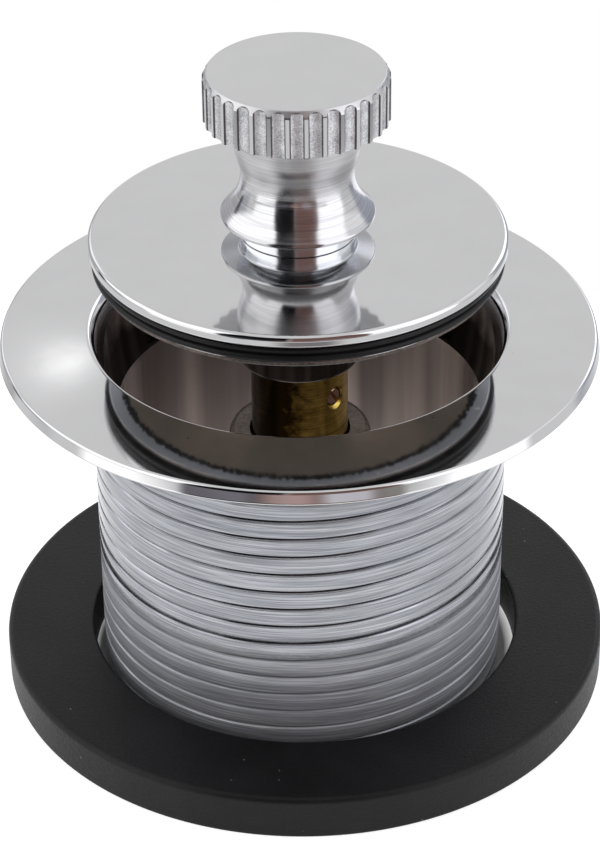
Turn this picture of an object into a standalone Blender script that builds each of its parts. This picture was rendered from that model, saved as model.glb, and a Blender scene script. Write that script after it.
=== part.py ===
"""Bath drain with a pull-up stopper, as the separate pieces that it comes apart into.

Everything is in metres with +Z up. The origin lies on the drain's axis at the end of the
threaded barrel, which is the face that the drain stands on. The model shows the stopper
raised: it drops by STOPPER_LIFT until its seal sits in the mouth of the flange.
Heights are worked out from the barrel's end upwards, each piece from the one below it.
"""
import math

import bmesh
import bpy
from mathutils import Matrix

# Fits shared by all pieces
SEAT_GAP = 0.0003
RUNNING_GAP = 0.0001
SLIDING_GAP = 0.00015
CUT_OVERRUN = 0.002
MERGE_DISTANCE = 0.00001
EDGE_ROUND = 0.0002

# Facets round a turned piece, and the turn that one facet of a fillet takes
LARGE_STEPS = 44
SMALL_STEPS = 32
FILLET_STEP = math.radians(45)
SHARP_ANGLE = math.radians(32)

# Drain body: threaded barrel, flange, and the bowl that leads into the throat
BARREL_LENGTH = 0.04355
THREAD_RADIUS = 0.0238
BARREL_LAND = 0.0008
THREAD_DEPTH = 0.0012
THREAD_RUNOUT = 0.0047
RIDGE_COUNT = 16
BARREL_WALL = 0.0031
FLANGE_WIDTH = 0.0103
FLANGE_THICKNESS = 0.00175
FLANGE_TAPER = 0.00035
FLANGE_FILLET = 0.0006
BOWL_SPREAD = 0.00307
SEAT_WIDTH = 0.00052
SEAT_DEPTH = 0.0006
BOWL_DEPTH = 0.0096
BOWL_STEP = 0.0002
BOWL_BULGE = 0.00036
BOWL_FACETS = 4

# Crossbar: three arms and the boss that carries the post
CROSSBAR_DEPTH = 0.0137
ARM_COUNT = 3
ARM_WIDTH = 0.0035
ARM_HEIGHT = 0.0057
ARM_BEVEL = 0.0006
BOSS_WALL = 0.00235
BOSS_HEIGHT = 0.0102
BOSS_ROUND = 0.0006
SOCKET_FLOOR = 0.0011
SOCKET_DRAIN_RADIUS = 0.0032

# Post with its guide bush and the set screw that holds the bush
POST_RADIUS = 0.00555
POST_WALL_SHARE = 0.19
POST_CHAMFER = 0.0003
BUSH_LENGTH = 0.0066
BUSH_WALL_SHARE = 0.225
BUSH_RECESS = 0.0002
BUSH_GROOVE_DEPTH = 0.0005
SCREW_RADIUS = 0.0013
SCREW_DROP = 0.0046
SCREW_RECESS = 0.0003
SCREW_SLOT_WIDTH = 0.0005
SCREW_SLOT_DEPTH = 0.0007
SCREW_AZIMUTH = math.radians(-42)
SCREW_SLOT_TILT = math.radians(35)

# Stopper: how far it lifts, and how high the disc stands over the flange when it is down
STOPPER_LIFT = 0.0095
CLOSED_STANDOFF = 0.0014
DISC_OVERHANG = 0.0003
DISC_THICKNESS = 0.0013
DISC_ROUND = 0.0005
SEAL_CLEARANCE = 0.00067
SEAL_THICKNESS = 0.0016
SEAL_GROOVE_DEPTH = 0.0005
SEAL_GROOVE_HEIGHT = 0.0003
SEAL_CHAMFER = 0.0002
RETAINER_INSET = 0.0006
RETAINER_THICKNESS = 0.0005
HUB_WALL = 0.00125
HUB_SKIRT_LENGTH = 0.0116
HUB_TOP_WALL = 0.0010
HUB_SPIGOT_WALL = 0.0019
HUB_CHAMFER = 0.00035

# Pull rod with its piston collar, and the friction ring that the collar carries
STUD_SHOULDER_SHARE = 0.1
STUD_REACH = 0.0065
STUD_CHAMFER = 0.0004
COLLAR_HEIGHT = 0.0022
RING_SECTION_RADIUS = 0.0005
RING_GROOVE_SLACK = 0.00026

# Knob: fluted head on a waisted neck with a flared foot
HEAD_OVERHANG = 0.0033
HEAD_HEIGHT = 0.0055
HEAD_CHAMFER_WIDTH = 0.00055
HEAD_CHAMFER_HEIGHT = 0.0009
BAND_RISE = 0.00065
BAND_HEIGHT = 0.0032
BAND_STEP = 0.00012
WAIST_RADIUS = 0.0063
UPPER_WAIST_HEIGHT = 0.0032
LOWER_WAIST_HEIGHT = 0.0039
CREASE_RISE = 0.0013
FLARE_BEVEL_WIDTH = 0.0010
FLARE_BEVEL_HEIGHT = 0.0011
FLARE_EDGE_LAND = 0.00035
UNDERCUT_WIDTH = 0.0023
UNDERCUT_HEIGHT = 0.00125
FOOT_HEIGHT = 0.0007
FLUTE_COUNT = 32
FLUTE_DEPTH = 0.00036
FLUTE_HALF_WIDTH = 0.00078
FLUTE_SIDES = 8
FLARE_FACETS = 5
WAIST_FACETS = 3

# Loose rubber washer that lies round the barrel, a little off its axis
WASHER_WIDTH = 0.01035
WASHER_THICKNESS = 0.0054
WASHER_CLEARANCE = 0.00155
WASHER_ROUND = 0.0007
WASHER_DRIFT = 0.00035

# Heights and radii that follow from the sizes above
FLANGE_TOP = BARREL_LENGTH + FLANGE_THICKNESS
THREAD_TOP = BARREL_LENGTH - THREAD_RUNOUT
ROOT_RADIUS = THREAD_RADIUS - THREAD_DEPTH
THROAT_RADIUS = THREAD_RADIUS - BARREL_WALL
MOUTH_RADIUS = THROAT_RADIUS + BOWL_SPREAD
FLANGE_RADIUS = MOUTH_RADIUS + FLANGE_WIDTH
BOWL_FOOT = FLANGE_TOP - BOWL_DEPTH
ARM_REACH = THROAT_RADIUS - SEAT_GAP
CROSSBAR_TOP = FLANGE_TOP - CROSSBAR_DEPTH
BOSS_BASE = CROSSBAR_TOP - BOSS_HEIGHT
SOCKET_RADIUS = POST_RADIUS + SEAT_GAP
BOSS_RADIUS = SOCKET_RADIUS + BOSS_WALL
SOCKET_BASE = BOSS_BASE + SOCKET_FLOOR
POST_BASE = SOCKET_BASE + SEAT_GAP
POST_BORE = POST_RADIUS * (1 - POST_WALL_SHARE)
BUSH_RADIUS = POST_BORE - SLIDING_GAP
BUSH_BORE = BUSH_RADIUS - POST_RADIUS * BUSH_WALL_SHARE
ROD_RADIUS = BUSH_BORE - RUNNING_GAP
STUD_RADIUS = ROD_RADIUS - POST_RADIUS * STUD_SHOULDER_SHARE
STUD_HOLE = STUD_RADIUS + SLIDING_GAP
SEAL_RADIUS = MOUTH_RADIUS - SEAL_CLEARANCE
DISC_RADIUS = SEAL_RADIUS + DISC_OVERHANG
RETAINER_RADIUS = SEAL_RADIUS - RETAINER_INSET
DISC_BASE = FLANGE_TOP + CLOSED_STANDOFF + STOPPER_LIFT
DISC_TOP = DISC_BASE + DISC_THICKNESS
SEAL_TOP = DISC_BASE - SEAT_GAP
SEAL_BASE = SEAL_TOP - SEAL_THICKNESS
RETAINER_TOP = SEAL_BASE - SEAT_GAP
RETAINER_BASE = RETAINER_TOP - RETAINER_THICKNESS
HUB_SHOULDER = RETAINER_BASE - SEAT_GAP
HUB_BASE = HUB_SHOULDER - HUB_SKIRT_LENGTH
HUB_ROOF = HUB_SHOULDER - HUB_TOP_WALL
HUB_BORE = POST_RADIUS + SLIDING_GAP
HUB_RADIUS = HUB_BORE + HUB_WALL
HUB_SPIGOT_RADIUS = STUD_HOLE + HUB_SPIGOT_WALL
CENTRE_HOLE = HUB_SPIGOT_RADIUS + SEAT_GAP
POST_TOP = HUB_ROOF - STOPPER_LIFT - SEAT_GAP
BUSH_TOP = POST_TOP - BUSH_RECESS
BUSH_BASE = BUSH_TOP - BUSH_LENGTH
SCREW_HEIGHT = POST_TOP - SCREW_DROP
SCREW_HOLE = SCREW_RADIUS + SLIDING_GAP
BUSH_GROOVE_FLOOR = BUSH_RADIUS - BUSH_GROOVE_DEPTH
ROD_SHOULDER = HUB_ROOF - SEAT_GAP
COLLAR_TOP = BUSH_BASE - SEAT_GAP
COLLAR_BASE = COLLAR_TOP - COLLAR_HEIGHT
COLLAR_RADIUS = POST_BORE - SLIDING_GAP
RING_HEIGHT = (COLLAR_TOP + COLLAR_BASE) / 2
RING_OUTER = POST_BORE - RUNNING_GAP / 2
RING_CENTRE = RING_OUTER - RING_SECTION_RADIUS
RING_GROOVE_FLOOR = RING_CENTRE - RING_SECTION_RADIUS - RUNNING_GAP / 2
RING_GROOVE_HEIGHT = 2 * RING_SECTION_RADIUS + RING_GROOVE_SLACK
KNOB_BASE = DISC_TOP + SEAT_GAP
STUD_TOP = KNOB_BASE + STUD_REACH
FOOT_TOP = KNOB_BASE + FOOT_HEIGHT
FLARE_LOWER_EDGE = FOOT_TOP + UNDERCUT_HEIGHT
FLARE_UPPER_EDGE = FLARE_LOWER_EDGE + FLARE_EDGE_LAND
CREASE_HEIGHT = FLARE_UPPER_EDGE + FLARE_BEVEL_HEIGHT
WAIST_HEIGHT = CREASE_HEIGHT + LOWER_WAIST_HEIGHT
BAND_BASE = WAIST_HEIGHT + UPPER_WAIST_HEIGHT
HEAD_BASE = BAND_BASE + BAND_HEIGHT
KNOB_TOP = HEAD_BASE + HEAD_HEIGHT
CREASE_RADIUS = WAIST_RADIUS + CREASE_RISE
FLARE_RADIUS = CREASE_RADIUS + FLARE_BEVEL_WIDTH
FOOT_RADIUS = FLARE_RADIUS - UNDERCUT_WIDTH
BAND_RADIUS = WAIST_RADIUS + BAND_RISE
HEAD_RADIUS = BAND_RADIUS + HEAD_OVERHANG
WASHER_HOLE_RADIUS = THREAD_RADIUS + WASHER_CLEARANCE
WASHER_RADIUS = WASHER_HOLE_RADIUS + WASHER_WIDTH


def clear_scene():
    """Removes whatever the scene holds, so that the script can run again."""
    for item in list(bpy.data.objects):
        bpy.data.objects.remove(item, do_unlink=True)


def collection(name):
    """Returns a new collection linked to the scene."""
    made = bpy.data.collections.new(name)
    bpy.context.scene.collection.children.link(made)
    return made


def finish(name, colour, roughness, metallic):
    """Returns a material with the piece's colour, roughness and metallic value."""
    made = bpy.data.materials.new(name)
    made.use_nodes = True
    shader = made.node_tree.nodes["Principled BSDF"]
    shader.inputs["Base Color"].default_value = (*colour, 1.0)
    shader.inputs["Roughness"].default_value = roughness
    shader.inputs["Metallic"].default_value = metallic
    return made


def fillet(before, corner, after, size):
    """Returns the points of an arc that rounds one corner, limited by the walls beside it."""
    arms = []
    for end in (before, after):
        across, up = end[0] - corner[0], end[1] - corner[1]
        length = math.hypot(across, up)
        arms.append((across / length, up / length, length))
    dot = arms[0][0] * arms[1][0] + arms[0][1] * arms[1][1]
    opening = math.acos(max(-1.0, min(1.0, dot)))
    reach = min(size / math.tan(opening / 2), arms[0][2] * 0.49, arms[1][2] * 0.49)
    radius = reach * math.tan(opening / 2)
    bisector = (arms[0][0] + arms[1][0], arms[0][1] + arms[1][1])
    scale = radius / math.sin(opening / 2) / math.hypot(*bisector)
    centre = (corner[0] + bisector[0] * scale, corner[1] + bisector[1] * scale)
    starts = [
        math.atan2(corner[1] + arm[1] * reach - centre[1], corner[0] + arm[0] * reach - centre[0])
        for arm in arms
    ]
    turn = math.remainder(starts[1] - starts[0], 2 * math.pi)
    count = max(1, round(abs(turn) / FILLET_STEP))
    angles = [starts[0] + turn * step / count for step in range(count + 1)]
    return [(centre[0] + radius * math.cos(a), centre[1] + radius * math.sin(a)) for a in angles]


def outline(corners, closed):
    """Turns corners of (radius, height) or (radius, height, rounding) into plain points."""
    points = []
    count = len(corners)
    for index, corner in enumerate(corners):
        inside = closed or 0 < index < count - 1
        if len(corner) == 3 and inside:
            before, after = corners[index - 1], corners[(index + 1) % count]
            points += fillet(before, corner, after, corner[2])
        else:
            points.append(corner[:2])
    return points


def turned(name, corners, place, closed=True, steps=SMALL_STEPS):
    """Turns an outline about the Z axis. It runs down the outer side and up the inner one."""
    points = outline(corners, closed)
    mesh = bpy.data.meshes.new(name)
    edges = [(index, index + 1) for index in range(len(points) - 1)]
    if closed:
        edges.append((len(points) - 1, 0))
    mesh.from_pydata([(radius, 0.0, height) for radius, height in points], edges, [])
    made = bpy.data.objects.new(name, mesh)
    place.objects.link(made)
    screw = made.modifiers.new("Turn", "SCREW")
    screw.axis = "Z"
    screw.angle = 2 * math.pi
    screw.steps = steps
    screw.render_steps = steps
    screw.use_merge_vertices = True
    screw.merge_threshold = MERGE_DISTANCE
    return made


def shaped(name, shape, place):
    """Makes an object from a filled bmesh."""
    bmesh.ops.recalc_face_normals(shape, faces=shape.faces)
    mesh = bpy.data.meshes.new(name)
    shape.to_mesh(mesh)
    shape.free()
    made = bpy.data.objects.new(name, mesh)
    place.objects.link(made)
    return made


def combine(piece, other, operation):
    """Joins another object to a piece, or cuts the piece with it."""
    other.hide_render = True
    other.display_type = "WIRE"
    change = piece.modifiers.new(other.name, "BOOLEAN")
    change.operation = operation
    change.solver = "EXACT"
    change.object = other


def settle(piece, material):
    """Fixes a piece's modifiers in its mesh, shades its round faces smooth and colours it."""
    bpy.context.view_layer.update()
    depsgraph = bpy.context.evaluated_depsgraph_get()
    mesh = bpy.data.meshes.new_from_object(piece.evaluated_get(depsgraph))
    piece.modifiers.clear()
    piece.data = mesh
    mesh.name = piece.name
    mesh.shade_smooth()
    mesh.set_sharp_from_angle(angle=SHARP_ANGLE)
    mesh.materials.clear()
    mesh.materials.append(material)
    return piece


def bulged(start, end, bulge, facets):
    """Returns the points between two ends, bowed to the left of the way by the bulge."""
    across, up = end[0] - start[0], end[1] - start[1]
    length = math.hypot(across, up)
    arc_radius = (length ** 2 / 4 + bulge ** 2) / (2 * bulge)
    sweep = 2 * math.asin(length / 2 / arc_radius)
    points = []
    for facet in range(1, facets):
        angle = sweep * (facet / facets - 0.5)
        along = length / 2 + arc_radius * math.sin(angle)
        away = bulge - arc_radius * (1 - math.cos(angle))
        points.append((
            start[0] + (across * along - up * away) / length,
            start[1] + (up * along + across * away) / length,
        ))
    return points


def ridges(top, base, root, crest, count):
    """Returns the points of a row of pointed ridges down a wall. Both its ends are grooves."""
    pitch = (top - base) / count
    points = [(root, top)]
    for index in range(count):
        points.append((crest, top - (index + 0.5) * pitch))
        points.append((root, top - (index + 1) * pitch))
    return points


def drain_body(parts):
    """Flange, bowl and barrel in one casting. Plain ridges stand for the barrel's thread."""
    bowl_foot = (THROAT_RADIUS + BOWL_STEP, BOWL_FOOT)
    bowl_top = (MOUTH_RADIUS - SEAT_WIDTH, FLANGE_TOP - SEAT_DEPTH)
    corners = [
        (FLANGE_RADIUS - FLANGE_TAPER, FLANGE_TOP, EDGE_ROUND),
        (FLANGE_RADIUS, BARREL_LENGTH, EDGE_ROUND),
        (THREAD_RADIUS, BARREL_LENGTH, FLANGE_FILLET),
        (THREAD_RADIUS, THREAD_TOP + THREAD_DEPTH / 2),
        *ridges(THREAD_TOP, BARREL_LAND, ROOT_RADIUS, THREAD_RADIUS, RIDGE_COUNT),
        (ROOT_RADIUS, 0.0),
        (THROAT_RADIUS, 0.0),
        (THROAT_RADIUS, BOWL_FOOT),
        bowl_foot,
        *reversed(bulged(bowl_top, bowl_foot, BOWL_BULGE, BOWL_FACETS)),
        bowl_top,
        (MOUTH_RADIUS, FLANGE_TOP),
    ]
    return turned("drain_body", corners, parts, steps=LARGE_STEPS)


def crossbar(parts, cutters):
    """Spider that bridges the throat: three arms round a boss with the post's socket."""
    spider = turned("crossbar", [
        (0.0, CROSSBAR_TOP),
        (BOSS_RADIUS, CROSSBAR_TOP, BOSS_ROUND),
        (BOSS_RADIUS, BOSS_BASE, BOSS_ROUND),
        (0.0, BOSS_BASE),
    ], parts, closed=False)
    middle = CROSSBAR_TOP - ARM_HEIGHT / 2
    for index in range(ARM_COUNT):
        arm = bmesh.new()
        bmesh.ops.create_cube(arm, size=1.0)
        bmesh.ops.scale(arm, vec=(ARM_REACH, ARM_WIDTH, ARM_HEIGHT), verts=arm.verts)
        along = [
            edge for edge in arm.edges
            if abs(edge.verts[0].co.x - edge.verts[1].co.x) > ARM_WIDTH
        ]
        bmesh.ops.bevel(
            arm, geom=along, offset=ARM_BEVEL, offset_type="OFFSET", segments=2,
            profile=0.5, affect="EDGES", material=-1,
        )
        outward = Matrix.Translation((ARM_REACH / 2, 0.0, middle))
        turn = Matrix.Rotation(math.pi / 2 + index * 2 * math.pi / ARM_COUNT, 4, "Z")
        bmesh.ops.transform(arm, matrix=turn @ outward, verts=arm.verts)
        combine(spider, shaped(f"crossbar_arm_{index + 1}", arm, cutters), "UNION")
    socket = turned("crossbar_socket", [
        (0.0, CROSSBAR_TOP + CUT_OVERRUN),
        (SOCKET_RADIUS, CROSSBAR_TOP + CUT_OVERRUN),
        (SOCKET_RADIUS, SOCKET_BASE),
        (SOCKET_DRAIN_RADIUS, SOCKET_BASE),
        (SOCKET_DRAIN_RADIUS, BOSS_BASE - CUT_OVERRUN),
        (0.0, BOSS_BASE - CUT_OVERRUN),
    ], cutters, closed=False)
    combine(spider, socket, "DIFFERENCE")
    return spider


def aimed(piece):
    """Lays a piece that was turned about Z along the set screw's line through the post."""
    piece.location = (0.0, 0.0, SCREW_HEIGHT)
    piece.rotation_euler = (0.0, math.pi / 2, SCREW_AZIMUTH)
    return piece


def post(parts, cutters):
    """Brass tube that stands in the boss, with the set screw's hole through one wall."""
    made = turned("post", [
        (POST_RADIUS, POST_TOP, POST_CHAMFER),
        (POST_RADIUS, POST_BASE, POST_CHAMFER),
        (POST_BORE, POST_BASE),
        (POST_BORE, POST_TOP),
    ], parts)
    hole = aimed(turned("post_screw_hole", [
        (0.0, POST_RADIUS + CUT_OVERRUN),
        (SCREW_HOLE, POST_RADIUS + CUT_OVERRUN),
        (SCREW_HOLE, 0.0),
        (0.0, 0.0),
    ], cutters, closed=False, steps=SMALL_STEPS // 2))
    combine(made, hole, "DIFFERENCE")
    return made


def guide_bush(parts):
    """Plastic bush that guides the rod. The set screw's point sits in its groove."""
    groove = SCREW_HOLE + SLIDING_GAP
    return turned("guide_bush", [
        (BUSH_RADIUS, BUSH_TOP),
        (BUSH_RADIUS, SCREW_HEIGHT + groove),
        (BUSH_GROOVE_FLOOR, SCREW_HEIGHT + groove),
        (BUSH_GROOVE_FLOOR, SCREW_HEIGHT - groove),
        (BUSH_RADIUS, SCREW_HEIGHT - groove),
        (BUSH_RADIUS, BUSH_BASE),
        (BUSH_BORE, BUSH_BASE),
        (BUSH_BORE, BUSH_TOP),
    ], parts)


def set_screw(parts, cutters):
    """Slotted grub screw, sunk a little into the post's side."""
    head = POST_RADIUS - SCREW_RECESS
    tip = BUSH_GROOVE_FLOOR + SLIDING_GAP
    screw = aimed(turned("set_screw", [
        (0.0, head),
        (SCREW_RADIUS, head, EDGE_ROUND),
        (SCREW_RADIUS, tip, EDGE_ROUND),
        (0.0, tip),
    ], parts, closed=False, steps=SMALL_STEPS // 2))
    slot = bmesh.new()
    bmesh.ops.create_cube(slot, size=1.0)
    length = 2 * (SCREW_RADIUS + CUT_OVERRUN)
    depth = SCREW_SLOT_DEPTH + CUT_OVERRUN
    bmesh.ops.scale(slot, vec=(length, SCREW_SLOT_WIDTH, depth), verts=slot.verts)
    tilt = Matrix.Rotation(SCREW_SLOT_TILT, 4, "Z")
    raise_up = Matrix.Translation((0.0, 0.0, head - SCREW_SLOT_DEPTH + depth / 2))
    bmesh.ops.transform(slot, matrix=raise_up @ tilt, verts=slot.verts)
    combine(screw, aimed(shaped("set_screw_slot", slot, cutters)), "DIFFERENCE")
    return screw


def stopper_rod(parts):
    """Rod that carries the stopper: a stud at the top and a grooved collar at the foot."""
    groove = RING_GROOVE_HEIGHT / 2
    return turned("stopper_rod", [
        (0.0, STUD_TOP),
        (STUD_RADIUS - STUD_CHAMFER, STUD_TOP),
        (STUD_RADIUS, STUD_TOP - STUD_CHAMFER),
        (STUD_RADIUS, ROD_SHOULDER),
        (ROD_RADIUS, ROD_SHOULDER, EDGE_ROUND),
        (ROD_RADIUS, COLLAR_TOP),
        (COLLAR_RADIUS, COLLAR_TOP),
        (COLLAR_RADIUS, RING_HEIGHT + groove),
        (RING_GROOVE_FLOOR, RING_HEIGHT + groove),
        (RING_GROOVE_FLOOR, RING_HEIGHT - groove),
        (COLLAR_RADIUS, RING_HEIGHT - groove),
        (COLLAR_RADIUS, COLLAR_BASE),
        (0.0, COLLAR_BASE),
    ], parts, closed=False)


def friction_ring(parts):
    """Rubber ring in the collar's groove. It drags in the post and holds the stopper up."""
    sides = SMALL_STEPS // 4
    section = [
        (RING_CENTRE + RING_SECTION_RADIUS * math.cos(-2 * math.pi * side / sides),
         RING_HEIGHT + RING_SECTION_RADIUS * math.sin(-2 * math.pi * side / sides))
        for side in range(sides)
    ]
    return turned("friction_ring", section, parts)


def hub(parts):
    """Skirt under the disc that slides over the post, with a spigot that centres the seal."""
    return turned("hub", [
        (HUB_SPIGOT_RADIUS, SEAL_TOP),
        (HUB_SPIGOT_RADIUS, HUB_SHOULDER),
        (HUB_RADIUS, HUB_SHOULDER, EDGE_ROUND),
        (HUB_RADIUS, HUB_BASE, HUB_CHAMFER),
        (HUB_BORE, HUB_BASE),
        (HUB_BORE, HUB_ROOF),
        (STUD_HOLE, HUB_ROOF),
        (STUD_HOLE, SEAL_TOP),
    ], parts)


def seal_retainer(parts):
    """Thin metal plate that backs the seal."""
    return turned("seal_retainer", [
        (RETAINER_RADIUS, RETAINER_TOP),
        (RETAINER_RADIUS, RETAINER_BASE, EDGE_ROUND),
        (CENTRE_HOLE, RETAINER_BASE),
        (CENTRE_HOLE, RETAINER_TOP),
    ], parts, steps=LARGE_STEPS)


def seal(parts):
    """Rubber seal with two lips at its rim."""
    middle = (SEAL_TOP + SEAL_BASE) / 2
    groove_floor = SEAL_RADIUS - SEAL_GROOVE_DEPTH
    return turned("seal", [
        (SEAL_RADIUS, SEAL_TOP, SEAL_CHAMFER),
        (SEAL_RADIUS, middle + SEAL_GROOVE_HEIGHT),
        (groove_floor, middle),
        (SEAL_RADIUS, middle - SEAL_GROOVE_HEIGHT),
        (SEAL_RADIUS, SEAL_BASE, SEAL_CHAMFER),
        (CENTRE_HOLE, SEAL_BASE),
        (CENTRE_HOLE, SEAL_TOP),
    ], parts, steps=LARGE_STEPS)


def stopper_disc(parts):
    """Flat polished disc with a rounded rim."""
    return turned("stopper_disc", [
        (DISC_RADIUS, DISC_TOP, DISC_ROUND),
        (DISC_RADIUS, DISC_BASE, EDGE_ROUND),
        (STUD_HOLE, DISC_BASE),
        (STUD_HOLE, DISC_TOP),
    ], parts, steps=LARGE_STEPS)


def waist_curve(end_radius, end_height, facets):
    """Points of an arc that leaves the knob's waist upright and leans out to its end."""
    length = end_height - WAIST_HEIGHT
    rise = end_radius - WAIST_RADIUS
    arc_radius = (length ** 2 + rise ** 2) / (2 * rise)
    sweep = math.asin(length / arc_radius)
    points = []
    for facet in range(1, facets + 1):
        angle = sweep * facet / facets
        radius = WAIST_RADIUS + arc_radius * (1 - math.cos(angle))
        points.append((radius, WAIST_HEIGHT + arc_radius * math.sin(angle)))
    return points


def knob(parts, cutters):
    """Turned knob whose head is fluted all round, with a blind hole for the stud."""
    upper = waist_curve(BAND_RADIUS - BAND_STEP, BAND_BASE - BAND_STEP, WAIST_FACETS)
    made = turned("knob", [
        (0.0, KNOB_TOP),
        (HEAD_RADIUS - HEAD_CHAMFER_WIDTH, KNOB_TOP),
        (HEAD_RADIUS, KNOB_TOP - HEAD_CHAMFER_HEIGHT),
        (HEAD_RADIUS, HEAD_BASE),
        (BAND_RADIUS, HEAD_BASE),
        (BAND_RADIUS, BAND_BASE),
        *reversed(upper),
        (WAIST_RADIUS, WAIST_HEIGHT),
        *waist_curve(CREASE_RADIUS, CREASE_HEIGHT, FLARE_FACETS),
        (FLARE_RADIUS, FLARE_UPPER_EDGE),
        (FLARE_RADIUS, FLARE_LOWER_EDGE),
        (FOOT_RADIUS, FOOT_TOP),
        (FOOT_RADIUS, KNOB_BASE),
        (STUD_HOLE, KNOB_BASE),
        (STUD_HOLE, STUD_TOP + SEAT_GAP),
        (0.0, STUD_TOP + SEAT_GAP),
    ], parts, closed=False, steps=2 * FLUTE_COUNT)
    flutes = bmesh.new()
    length = HEAD_HEIGHT + 2 * CUT_OVERRUN
    for index in range(FLUTE_COUNT):
        flute = bmesh.ops.create_cone(
            flutes, cap_ends=True, segments=FLUTE_SIDES, radius1=1.0, radius2=1.0, depth=length,
        )["verts"]
        bmesh.ops.scale(flutes, vec=(FLUTE_DEPTH, FLUTE_HALF_WIDTH, 1.0), verts=flute)
        angle = index * 2 * math.pi / FLUTE_COUNT
        out = Matrix.Translation((HEAD_RADIUS, 0.0, HEAD_BASE + HEAD_HEIGHT / 2))
        around = Matrix.Rotation(angle, 4, "Z")
        bmesh.ops.transform(flutes, matrix=around @ out, verts=flute)
    combine(made, shaped("knob_flutes", flutes, cutters), "DIFFERENCE")
    return made


def shoe_washer(parts):
    """Thick rubber washer that lies loose round the barrel's end."""
    made = turned("shoe_washer", [
        (WASHER_RADIUS, WASHER_THICKNESS, WASHER_ROUND),
        (WASHER_RADIUS, 0.0),
        (WASHER_HOLE_RADIUS, 0.0),
        (WASHER_HOLE_RADIUS, WASHER_THICKNESS, EDGE_ROUND),
    ], parts, steps=LARGE_STEPS)
    made.location.x = WASHER_DRIFT
    return made


def axis_marker(name, height, parent, place):
    """Empty on the drain's axis that carries the pieces which move together."""
    marker = bpy.data.objects.new(name, None)
    marker.empty_display_size = POST_RADIUS
    marker.location.z = height
    place.objects.link(marker)
    if parent is not None:
        carry(marker, [parent])
    return marker


def carry(piece, parents):
    """Parents a piece without moving it."""
    bpy.context.view_layer.update()
    piece.parent = parents[0]
    piece.matrix_parent_inverse = parents[0].matrix_world.inverted()


def build():
    """Builds every piece, colours it and hangs the moving ones on their axes."""
    clear_scene()
    parts = collection("bath_drain")
    cutters = collection("cutters")

    chrome = finish("polished_chrome", (0.80, 0.80, 0.81), 0.08, 1.0)
    cast = finish("cast_brass", (0.36, 0.30, 0.26), 0.45, 1.0)
    brass = finish("turned_brass", (0.62, 0.46, 0.16), 0.30, 1.0)
    steel = finish("copper_plated_screw", (0.72, 0.50, 0.42), 0.30, 1.0)
    plate = finish("stamped_plate", (0.45, 0.44, 0.43), 0.35, 1.0)
    satin = finish("satin_knob", (0.72, 0.72, 0.74), 0.20, 1.0)
    nylon = finish("nylon", (0.85, 0.84, 0.80), 0.50, 0.0)
    black = finish("black_rubber", (0.02, 0.02, 0.022), 0.60, 0.0)
    sealing = finish("seal_rubber", (0.012, 0.012, 0.014), 0.35, 0.0)
    ring_rubber = finish("ring_rubber", (0.03, 0.03, 0.03), 0.50, 0.0)

    settle(drain_body(parts), chrome)
    settle(crossbar(parts, cutters), cast)
    settle(post(parts, cutters), brass)
    settle(guide_bush(parts), nylon)
    settle(set_screw(parts, cutters), steel)

    ring = settle(friction_ring(parts), ring_rubber)
    stopper = [
        settle(stopper_rod(parts), brass),
        settle(hub(parts), chrome),
        settle(seal_retainer(parts), plate),
        settle(seal(parts), sealing),
        settle(stopper_disc(parts), chrome),
        settle(knob(parts, cutters), satin),
    ]
    washer = settle(shoe_washer(parts), black)

    lift_axis = axis_marker("stopper_lift_axis", RING_HEIGHT, None, parts)
    turn_axis = axis_marker("stopper_turn_axis", DISC_BASE, lift_axis, parts)
    carry(ring, [lift_axis])
    for piece in stopper:
        carry(piece, [turn_axis])
    washer_axis = axis_marker("washer_slide_axis", 0.0, None, parts)
    carry(washer, [washer_axis])


build()
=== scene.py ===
"""Bath drain with a pull-up stopper: the finished look of every piece, its studio and its camera.

Lengths are in metres. The drain's axis is Z, the barrel stands on the floor at Z = 0, and the
camera looks along +Y from the front. Each sub-assembly is a class: its fields are its sizes, and
its methods turn, cut and dress its pieces.
"""
import logging
import math
from collections.abc import Callable, Iterable, Sequence
from dataclasses import dataclass, field
from enum import Enum
from typing import Any

import bmesh
import bpy
from mathutils import Matrix, Vector


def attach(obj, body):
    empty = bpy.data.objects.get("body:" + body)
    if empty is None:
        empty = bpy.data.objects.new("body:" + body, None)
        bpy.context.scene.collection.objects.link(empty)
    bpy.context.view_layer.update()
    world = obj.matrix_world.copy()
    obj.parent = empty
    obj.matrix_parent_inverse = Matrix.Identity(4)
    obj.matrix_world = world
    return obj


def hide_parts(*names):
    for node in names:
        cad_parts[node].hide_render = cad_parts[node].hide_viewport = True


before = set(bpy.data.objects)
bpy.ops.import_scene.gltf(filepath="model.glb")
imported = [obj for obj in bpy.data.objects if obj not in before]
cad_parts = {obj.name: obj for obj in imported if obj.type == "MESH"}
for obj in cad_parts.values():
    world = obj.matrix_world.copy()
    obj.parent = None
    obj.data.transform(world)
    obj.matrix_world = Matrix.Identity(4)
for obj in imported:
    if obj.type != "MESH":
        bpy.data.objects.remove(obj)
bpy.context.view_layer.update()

Colour = tuple[float, float, float]
Range = tuple[float, float]
Material = bpy.types.Material
Mesh = bmesh.types.BMesh
Edge = bmesh.types.BMEdge
Vert = bmesh.types.BMVert
Region = Callable[[Vector, Vector], str]

LOG = logging.getLogger("bath_drain")
TOLERANCE = 1e-7
SUPPORT = 0.00008
SMOOTH_ANGLE = math.radians(32)
ROUND_STEPS = 256
TUBE_STEPS = 160
ROUNDING_FACETS = 4
OVERRUN = 0.002
HALF_TURN = 180.0
DEGREES = HALF_TURN / math.pi

# Z of a face's normal: it stands upright below the first and lies level above the second.
UPRIGHT = 0.1
LEVEL = 0.98

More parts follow.
